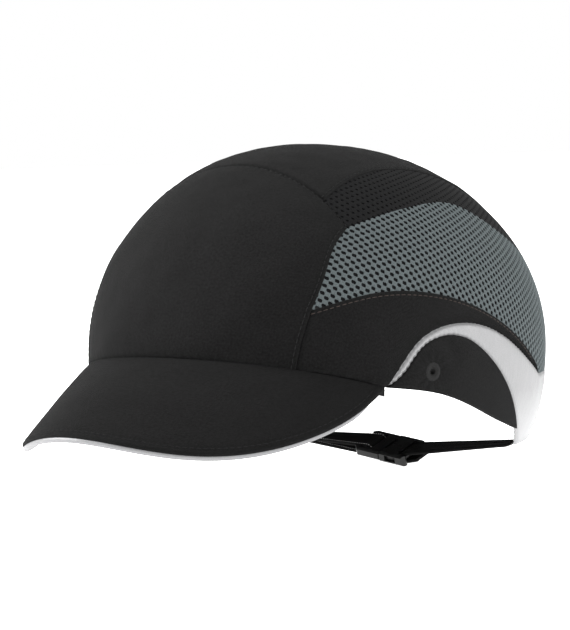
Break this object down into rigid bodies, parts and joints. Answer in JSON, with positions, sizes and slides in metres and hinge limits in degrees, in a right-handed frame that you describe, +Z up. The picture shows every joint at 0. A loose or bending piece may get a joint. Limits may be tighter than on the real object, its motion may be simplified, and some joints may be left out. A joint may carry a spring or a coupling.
{
  "type": "bump cap",
  "caption": "Fabric-covered bump cap with a vented inner shell, short peak, mesh sides, reflective ear bands and a buckled nape strap.",
  "frame": {"origin": "centre of the head opening, level with the widest part of the crown", "axes": "+Z up through the crown, -Y forwards along the peak, +X towards the wearer's left"},
  "size_m": [0.172, 0.265, 0.1391],
  "materials": {
    "black_fabric": "matte twill",
    "black_mesh": "matte knitted mesh",
    "grey_mesh": "matte knitted mesh",
    "reflective_tape": "retro-reflective, satin",
    "reflective_piping": "retro-reflective, satin",
    "shell_plastic": "moulded, fine grain",
    "board_plastic": "plain sheet",
    "foam": "soft matt foam",
    "sweatband_fabric": "brushed terry",
    "lining_fabric": "plain weave",
    "webbing": "ribbed webbing",
    "thread": "embroidery thread",
    "buckle_plastic": "moulded acetal, satin"
  },
  "bodies": {
    "cap": {"front_panel": "black_fabric", "crown_strip": "black_fabric", "upper_mesh_left": "black_mesh", "upper_mesh_right": "black_mesh", "side_mesh_left": "grey_mesh", "side_mesh_right": "grey_mesh", "side_panel_left": "black_fabric", "side_panel_right": "black_fabric", "reflective_band_left": "reflective_tape", "reflective_band_right": "reflective_tape", "rear_band": "reflective_tape", "tail_lining_left": "lining_fabric", "tail_lining_right": "lining_fabric", "ear_flap_left": "black_fabric", "ear_flap_right": "black_fabric", "eyelet_left": "thread", "eyelet_right": "thread", "peak_cover_top": "black_fabric", "peak_board": "board_plastic", "peak_cover_under": "black_fabric", "peak_piping": "reflective_piping", "brow_tape": "lining_fabric", "hard_shell": "shell_plastic", "crown_pad": "foam", "front_pad": "foam", "rear_pad": "foam", "side_pad_left": "foam", "side_pad_right": "foam", "sweatband": "sweatband_fabric", "strap_anchor_left": "webbing", "strap_anchor_right": "webbing"},
    "strap": {"strap_left": "webbing", "strap_right": "webbing", "buckle_socket": "buckle_plastic"},
    "plug": {"buckle_plug": "buckle_plastic"},
    "prong_rear": {"prong_rear": "buckle_plastic"},
    "prong_front": {"prong_front": "buckle_plastic"}
  },
  "joints": [
    {"name": "strap_swing", "type": "hinge", "parent": "cap", "child": "strap", "pos_m": [0, 0.048, -0.0425], "axis": [1, 0, 0], "range_deg": [-45, 75]},
    {"name": "buckle_release", "type": "slide", "parent": "strap", "child": "plug", "axis": [-0.9848, -0.0594, 0.1632], "range_m": [0, 0.014], "deforming": ["strap_right"]},
    {"name": "prong_rear_squeeze", "type": "hinge", "parent": "plug", "child": "prong_rear", "pos_m": [-0.00789, 0.05227, -0.04488], "axis": [-0.1736, 0.3368, -0.9254], "range_deg": [0, 6], "stiffness_Nm_per_rad": 0.02},
    {"name": "prong_front_squeeze", "type": "hinge", "parent": "plug", "child": "prong_front", "pos_m": [-0.00789, 0.04362, -0.04803], "axis": [0.1736, -0.3368, 0.9254], "range_deg": [0, 6]}
  ],
  "couplings": [
    {"joint": "prong_front_squeeze", "follows": "prong_rear_squeeze", "ratio": 1}
  ]
}
